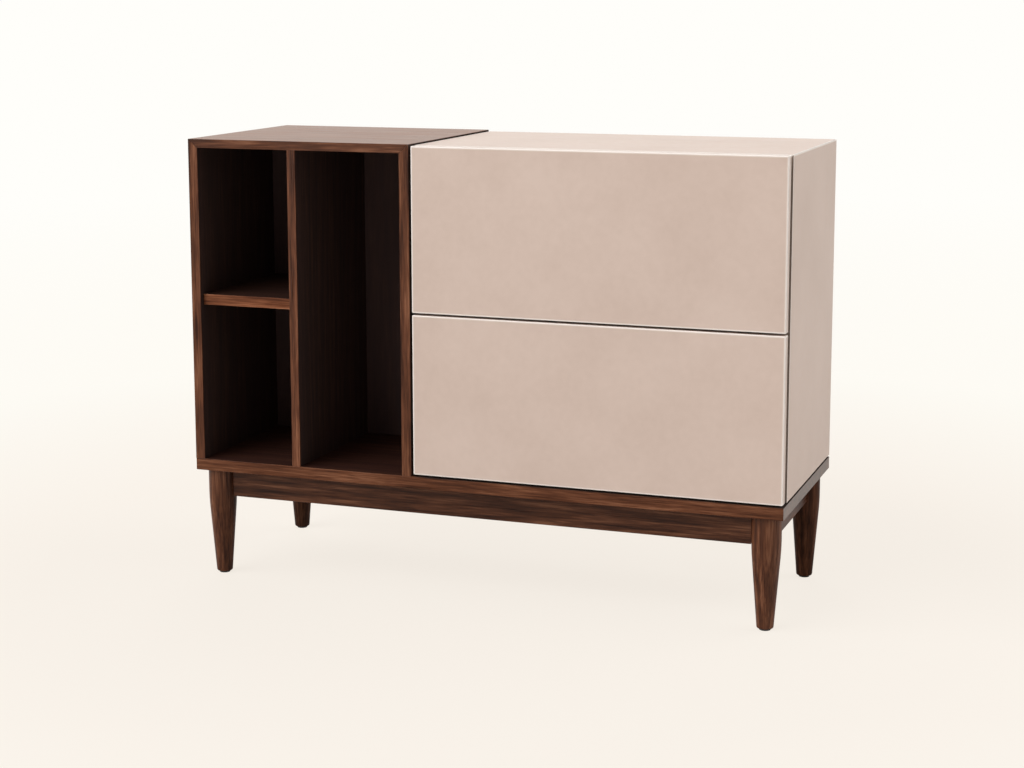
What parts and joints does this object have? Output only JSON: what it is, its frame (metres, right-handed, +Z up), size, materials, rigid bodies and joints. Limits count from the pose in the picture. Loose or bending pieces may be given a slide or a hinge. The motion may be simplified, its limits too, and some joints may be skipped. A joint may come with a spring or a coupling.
{
  "type": "office credenza",
  "caption": "Low office credenza on turned legs: an open walnut shelf unit beside a lacquered case with push-open hanging-file drawers on ball-bearing slides.",
  "frame": {"origin": "on the floor under the middle of the credenza", "axes": "+X along the width to the viewer's right, +Y towards the back, +Z up; the drawers open towards -Y"},
  "size_m": [1.118, 0.406, 0.825],
  "materials": {
    "walnut": "dark walnut, satin oiled",
    "lacquer": "warm beige satin lacquer on board",
    "birch": "clear sealed birch plywood",
    "steel": "zinc plated sheet",
    "nylon": "dark nylon",
    "latch_plastic": "off-white moulded plastic"
  },
  "bodies": {
    "cabinet": {"base_board": "walnut", "front_apron": "walnut", "rear_apron": "walnut", "left_apron": "walnut", "right_apron": "walnut", "front_left_leg": "walnut", "front_right_leg": "walnut", "rear_left_leg": "walnut", "rear_right_leg": "walnut", "front_left_glide": "nylon", "front_right_glide": "nylon", "rear_left_glide": "nylon", "rear_right_glide": "nylon", "unit_top": "walnut", "unit_left_side": "walnut", "unit_right_side": "walnut", "unit_divider": "walnut", "unit_back": "walnut", "cubby_shelf": "walnut", "shelf_pin_front_left": "steel", "shelf_pin_rear_left": "steel", "shelf_pin_front_right": "steel", "shelf_pin_rear_right": "steel", "case_top": "lacquer", "case_left_side": "lacquer", "case_right_side": "lacquer", "case_bottom": "lacquer", "case_back": "lacquer", "lower_left_slide_outer": "steel", "lower_right_slide_outer": "steel", "upper_left_slide_outer": "steel", "upper_right_slide_outer": "steel", "lower_latch_body": "latch_plastic", "upper_latch_body": "latch_plastic"},
    "lower_drawer": {"lower_drawer_front": "lacquer", "lower_drawer_subfront": "birch", "lower_drawer_left_side": "birch", "lower_drawer_right_side": "birch", "lower_drawer_back": "birch", "lower_drawer_bottom": "birch", "lower_file_rail_front": "steel", "lower_file_rail_rear": "steel", "lower_left_slide_inner": "steel", "lower_right_slide_inner": "steel"},
    "lower_slide_middles": {"lower_left_slide_middle": "steel", "lower_right_slide_middle": "steel"},
    "lower_plunger": {"lower_latch_plunger": "latch_plastic"},
    "upper_drawer": {"upper_drawer_front": "lacquer", "upper_drawer_subfront": "birch", "upper_drawer_left_side": "birch", "upper_drawer_right_side": "birch", "upper_drawer_back": "birch", "upper_drawer_bottom": "birch", "upper_file_rail_front": "steel", "upper_file_rail_rear": "steel", "upper_left_slide_inner": "steel", "upper_right_slide_inner": "steel"},
    "upper_slide_middles": {"upper_left_slide_middle": "steel", "upper_right_slide_middle": "steel"},
    "upper_plunger": {"upper_latch_plunger": "latch_plastic"}
  },
  "joints": [
    {"name": "lower_drawer_slide", "type": "slide", "parent": "cabinet", "child": "lower_drawer", "axis": [0, -1, 0], "range_m": [0, 0.33]},
    {"name": "lower_middle_slide", "type": "slide", "parent": "cabinet", "child": "lower_slide_middles", "axis": [0, -1, 0], "range_m": [0, 0.165]},
    {"name": "lower_latch_push", "type": "slide", "parent": "cabinet", "child": "lower_plunger", "axis": [0, 1, 0], "range_m": [0, 0.003], "stiffness_N_per_m": 300},
    {"name": "upper_drawer_slide", "type": "slide", "parent": "cabinet", "child": "upper_drawer", "axis": [0, -1, 0], "range_m": [0, 0.33]},
    {"name": "upper_middle_slide", "type": "slide", "parent": "cabinet", "child": "upper_slide_middles", "axis": [0, -1, 0], "range_m": [0, 0.165]},
    {"name": "upper_latch_push", "type": "slide", "parent": "cabinet", "child": "upper_plunger", "axis": [0, 1, 0], "range_m": [0, 0.003], "stiffness_N_per_m": 300}
  ],
  "couplings": [
    {"joint": "lower_middle_slide", "follows": "lower_drawer_slide", "ratio": 0.5},
    {"joint": "upper_middle_slide", "follows": "upper_drawer_slide", "ratio": 0.5}
  ]
}
